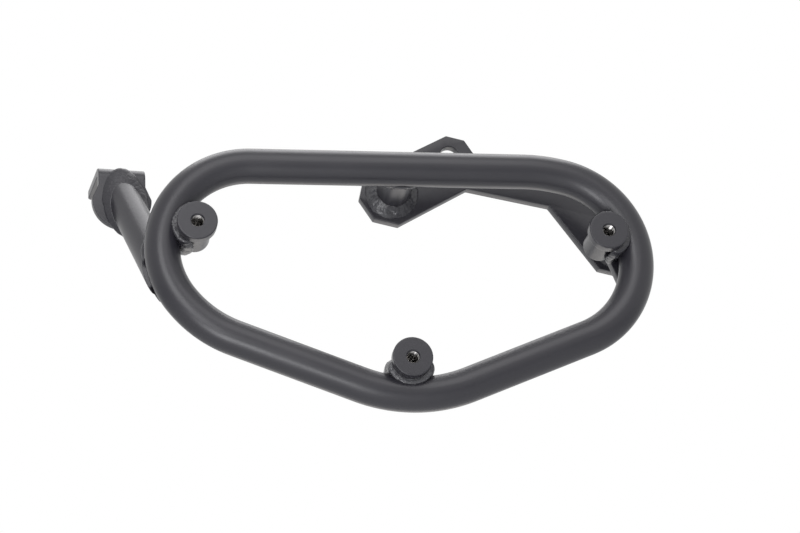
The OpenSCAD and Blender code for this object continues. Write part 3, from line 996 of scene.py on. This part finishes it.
class FRAME_OT_welds(bpy.types.Operator):
    """Weld beads along every seam"""

    bl_idname = "pannier_frame.welds"
    bl_label = "Weld beads"

    def execute(self, context):
        sizes = context.scene.frame_sizes
        r = sizes.tube_d / 2 / MM
        shank_r = sizes.boss_shank_d / 2 / MM
        pitch = sizes.bead_pitch / MM
        tube_size, plate_size = sizes.bead_w / MM, sizes.ring_w / MM
        boss_size, foot_size = sizes.boss_bead_w / MM, sizes.foot_bead_w / MM
        around = np.linspace(0, 2 * math.pi, 240, endpoint=False)

        def add(name, *rule, finish=bead_coat, **more):
            points = weld(*rule, **more)
            count, columns = points.shape[:2]
            add_piece(
                name + "_bead",
                points.reshape(-1, 3),
                grid_faces(count, columns),
                [finish(context)],
                [name],
                70.0,
            )

        def ring(origin, axis, reach):
            """Circle or slanted cut of a tube, with the directions away from its axis."""
            axis = unit(axis)
            side = unit(np.cross(axis, [0.0, 0.0, 1.0] if abs(axis[2]) < 0.9 else [1.0, 0.0, 0.0]))
            other = np.cross(axis, side)
            ways = np.outer(np.cos(around), side) + np.outer(np.sin(around), other)
            base = origin + ways * (r - 0.3)
            return base + axis * reach(base, axis)[:, None], ways

        def thin_where_flat(origin, axis):
            """Thins a weld where the two surfaces hardly form a valley."""

            def grow(seam):
                v = seam - origin
                away = unit(v - (v @ axis)[:, None] * axis)
                return 1 - 0.6 * np.clip((away * unit(from_line(seam))).sum(1), 0, 1)

            return grow

        slant = unit(FRONT_TOP - FRONT_LOW)
        for seed, (name, origin, axis, square, least) in enumerate(
            (
                ("weld_upper_tube", in_space(UPPER_AT), BACK, BACK, COPE_CUT),
                ("weld_rear_tube", in_space(REAR_AT), BACK, BACK, COPE_CUT),
                ("weld_front_tube", FRONT_LOW, slant, square_to_loop(slant, FRONT_TURN), FRONT_CUT),
            )
        ):
            seam, ways = ring(origin, axis, lambda b, a: cope(b, a, origin, square, least, r) - 0.3)
            out = unit(ways + unit(from_line(seam)))
            rule = around_tube(origin, axis, r, (origin + square * (least - 0.3), square))
            sides = (tube_size, tube_size)
            grow = thin_where_flat(origin, axis)
            add(name, seam, out, rule, off_loop, sides, pitch, 1.0 + seed, grow=grow)

        face = np.array([0.0, LOOP_Y + PLATE_GAP, 0.0])
        crater = in_space(UPPER_AT, PLATE_GAP) + np.array([-1.5, -1.8, -r - 1.6])
        for name, place, width, seed, dents in (
            ("weld_upper_plate", UPPER_AT, plate_size, 4.0, ((crater, 1.9, 1.5),)),
            ("weld_rear_plate", REAR_AT, plate_size * 0.6, 5.0, ()),
        ):
            seam, ways = ring(in_space(place), BACK, lambda b, a: np.full(len(b), PLATE_GAP + 0.3))
            add(
                name,
                seam,
                unit(ways - BACK),
                around_tube(in_space(place), BACK, r),
                before_face(face, -BACK),
                (width, plate_size * 0.8),
                pitch,
                seed,
                power=1.15,
                spread=1.15,
                dents=dents,
            )

        seam, ways = ring(
            FRONT_LOW, slant, lambda b, a: ((FOOT_AT - b) @ FOOT_FACE) / (a @ FOOT_FACE) + 0.3
        )
        add(
            "weld_foot",
            seam,
            unit(ways + FOOT_FACE),
            around_tube(FRONT_LOW, slant, r),
            before_face(FOOT_AT, FOOT_FACE),
            (foot_size, foot_size),
            pitch,
            6.0,
            power=1.2,
            spread=1.3,
            finish=tube_coat,
        )

        for seed, (name, place) in enumerate(BOSS_PLACES.items()):
            circle = BOSS_BENDS[name]
            to_tube = unit(np.array([place[0] - circle[0], 0.0, place[1] - circle[1]]))
            beside = np.cross(to_tube, BACK)
            centre = in_space(place)
            reach = np.linspace(0.4, 6.9, 260)
            seam, out = [], []
            for a in around:
                flat = reach * math.cos(a)
                points = (
                    centre
                    + np.outer(np.sqrt(shank_r**2 - flat**2), to_tube)
                    + np.outer(flat, beside)
                    + np.outer(reach * math.sin(a), BACK)
                )
                k = min(int((off_loop(points) < 0).sum()), len(reach) - 1)
                way = math.cos(a) * beside + math.sin(a) * BACK
                seam.append(points[k] - 0.4 * way)
                out.append(way)
            add(
                name.replace("boss", "weld_boss"),
                np.array(seam),
                np.array(out),
                around_tube(centre, BACK, shank_r),
                off_loop,
                (boss_size, boss_size * 1.6),
                pitch,
                7.0 + seed,
                power=2.2,
                spread=1.5,
                stop_at=before_face(centre - (BOSS_FRONT - HEAD_T) * BACK, BACK),
            )

        half, columns = 60, 16
        turns = np.concatenate([np.linspace(-15, 1, half), np.linspace(1, -15, half)])
        inner = np.concatenate([np.full(half, -0.25), np.full(half, 0.25)])
        seam = np.array([in_space(rim(RIGHT_BEND, t, -3.6 - i), r - 1.4) for t, i in zip(turns, inner)])
        points = []
        for k, p in enumerate(seam):
            lump = noise.noise(Vector(p * 0.4) + Vector((11, 0, 0)))
            ring_r = 1.25 * (1 + 0.3 * lump)
            t = turns[k]
            inward = np.array([-cos_d(t), 0.0, -sin_d(t)])
            for a in np.linspace(0, 2 * math.pi, columns, endpoint=False):
                points.append(p + ring_r * (math.cos(a) * inward + math.sin(a) * BACK))
        add_piece(
            "weld_gusset_bead",
            np.array(points),
            grid_faces(2 * half, columns),
            [bead_coat(context)],
            ["weld_gusset"],
            60.0,
        )
        return {"FINISHED"}


class FRAME_OT_stage(bpy.types.Operator):
    """Camera, lights, pale floor and white surroundings"""

    bl_idname = "pannier_frame.stage"
    bl_label = "Stage"

    def execute(self, context):
        scene = context.scene
        scene.view_settings.view_transform = "Standard"
        right, up = Vector((0.9858, -0.1610, -0.0469)), Vector((-0.0132, -0.3536, 0.9353))
        right.normalize()
        up = (up - right * up.dot(right)).normalized()
        back = right.cross(up)
        camera = bpy.data.objects.new("camera", bpy.data.cameras.new("camera"))
        scene.collection.objects.link(camera)
        turned = Matrix((right, up, back)).transposed().to_4x4()
        turned.translation = Vector((-0.2051, -0.9892, -0.4315))
        camera.matrix_world = turned
        camera.data.lens = 103.5
        camera.data.sensor_width = 36.0
        camera.data.clip_start = 0.01
        scene.camera = camera

        middle = Vector((-0.03, -0.03, -0.06))
        for name, way, distance, size, watts, color in (
            ("overhead_softbox", (0.05, 0.25, 0.95), 1.25, (1.1, 0.9), 7.2, (0.99, 0.98, 1.0)),
            ("upper_front_softbox", (0.0, -0.75, 0.62), 1.35, (0.9, 0.9), 4.2, (0.99, 0.98, 1.0)),
            ("left_front_softbox", (-0.36, -0.86, 0.06), 1.3, (0.55, 0.95), 5.8, (0.98, 0.98, 1.0)),
            ("low_front_softbox", (-0.40, -0.72, -0.58), 0.75, (0.33, 0.22), 1.6, (0.98, 0.98, 1.0)),
            ("low_back_softbox", (0.10, 0.92, -0.36), 1.1, (0.8, 0.3), 0.9, (1.0, 0.94, 0.88)),
        ):
            lamp = bpy.data.lights.new(name, "AREA")
            lamp.shape = "RECTANGLE"
            lamp.size, lamp.size_y = size
            lamp.energy = watts
            lamp.color = color
            holder = bpy.data.objects.new(name, lamp)
            scene.collection.objects.link(holder)
            holder.location = middle + Vector(way).normalized() * distance
            holder.rotation_mode = "QUATERNION"
            holder.rotation_quaternion = (middle - holder.location).to_track_quat("-Z", "Y")

        world = bpy.data.worlds.new("white_room")
        scene.world = world
        world.use_nodes = True
        nodes, link = world.node_tree.nodes, world.node_tree.links.new
        nodes.clear()
        ray = nodes.new("ShaderNodeLightPath")
        seen = nodes.new("ShaderNodeMath")
        seen.operation = "ADD"
        seen.use_clamp = True
        link(ray.outputs["Is Camera Ray"], seen.inputs[0])
        both = nodes.new("ShaderNodeMath")
        both.operation = "ADD"
        both.use_clamp = True
        link(ray.outputs["Is Glossy Ray"], both.inputs[0])
        link(ray.outputs["Is Transmission Ray"], both.inputs[1])
        link(both.outputs[0], seen.inputs[1])
        lit, shown = nodes.new("ShaderNodeBackground"), nodes.new("ShaderNodeBackground")
        lit.inputs["Color"].default_value = (0.96, 0.98, 1.0, 1)
        lit.inputs["Strength"].default_value = 0.7
        shown.inputs["Color"].default_value = (1, 1, 1, 1)
        shown.inputs["Strength"].default_value = 1.0
        mix, result = nodes.new("ShaderNodeMixShader"), nodes.new("ShaderNodeOutputWorld")
        link(seen.outputs[0], mix.inputs[0])
        link(lit.outputs[0], mix.inputs[1])
        link(shown.outputs[0], mix.inputs[2])
        link(mix.outputs[0], result.inputs["Surface"])

        half = 5.0
        mesh = bpy.data.meshes.new("floor")
        corners = [(-half, -half, 0), (half, -half, 0), (half, half, 0), (-half, half, 0)]
        mesh.from_pydata(corners, [], [(0, 1, 2, 3)])
        floor = bpy.data.objects.new("floor", mesh)
        floor.location = (0, 0, -0.62)
        scene.collection.objects.link(floor)
        material = bpy.data.materials.new("pale_floor")
        material.use_nodes = True
        nodes, link = material.node_tree.nodes, material.node_tree.links.new
        shader = nodes["Principled BSDF"]
        shader.inputs["Base Color"].default_value = (0.9, 0.9, 0.9, 1)
        shader.inputs["Roughness"].default_value = 0.9
        glow = nodes.new("ShaderNodeEmission")
        glow.inputs["Color"].default_value = (1, 1, 1, 1)
        glow.inputs["Strength"].default_value = 1.0
        ray = nodes.new("ShaderNodeLightPath")
        share = nodes.new("ShaderNodeMath")
        share.operation = "MULTIPLY"
        share.inputs[1].default_value = 0.75
        link(ray.outputs["Is Camera Ray"], share.inputs[0])
        mix = nodes.new("ShaderNodeMixShader")
        link(share.outputs[0], mix.inputs[0])
        link(shader.outputs[0], mix.inputs[1])
        link(glow.outputs[0], mix.inputs[2])
        link(mix.outputs[0], nodes["Material Output"].inputs["Surface"])
        mesh.materials.append(material)
        return {"FINISHED"}


STEPS = ("stage", "loop", "bosses", "standoffs", "plate", "foot", "gusset", "welds")


class FRAME_PT_panel(bpy.types.Panel):
    """Sizes, finish and steps of the pannier frame"""

    bl_idname = "FRAME_PT_panel"
    bl_label = "Pannier frame"
    bl_space_type = "VIEW_3D"
    bl_region_type = "UI"
    bl_category = "Pannier frame"

    def draw(self, context):
        for group in (context.scene.frame_sizes, context.scene.frame_finish):
            box = self.layout.box()
            for name in group.__annotations__:
                box.prop(group, name)
        for step in STEPS:
            self.layout.operator("pannier_frame." + step)


CLASSES = (
    FRAME_PG_sizes,
    FRAME_PG_finish,
    FRAME_OT_stage,
    FRAME_OT_loop,
    FRAME_OT_bosses,
    FRAME_OT_standoffs,
    FRAME_OT_plate,
    FRAME_OT_foot,
    FRAME_OT_gusset,
    FRAME_OT_welds,
    FRAME_PT_panel,
)


def register():
    for item in CLASSES:
        bpy.utils.register_class(item)
    bpy.types.Scene.frame_sizes = bpy.props.PointerProperty(type=FRAME_PG_sizes)
    bpy.types.Scene.frame_finish = bpy.props.PointerProperty(type=FRAME_PG_finish)


def unregister():
    del bpy.types.Scene.frame_finish
    del bpy.types.Scene.frame_sizes
    for item in reversed(CLASSES):
        bpy.utils.unregister_class(item)


def main():
    register()
    for step in STEPS:
        getattr(bpy.ops.pannier_frame, step)()


if __name__ == "__main__":
    main()
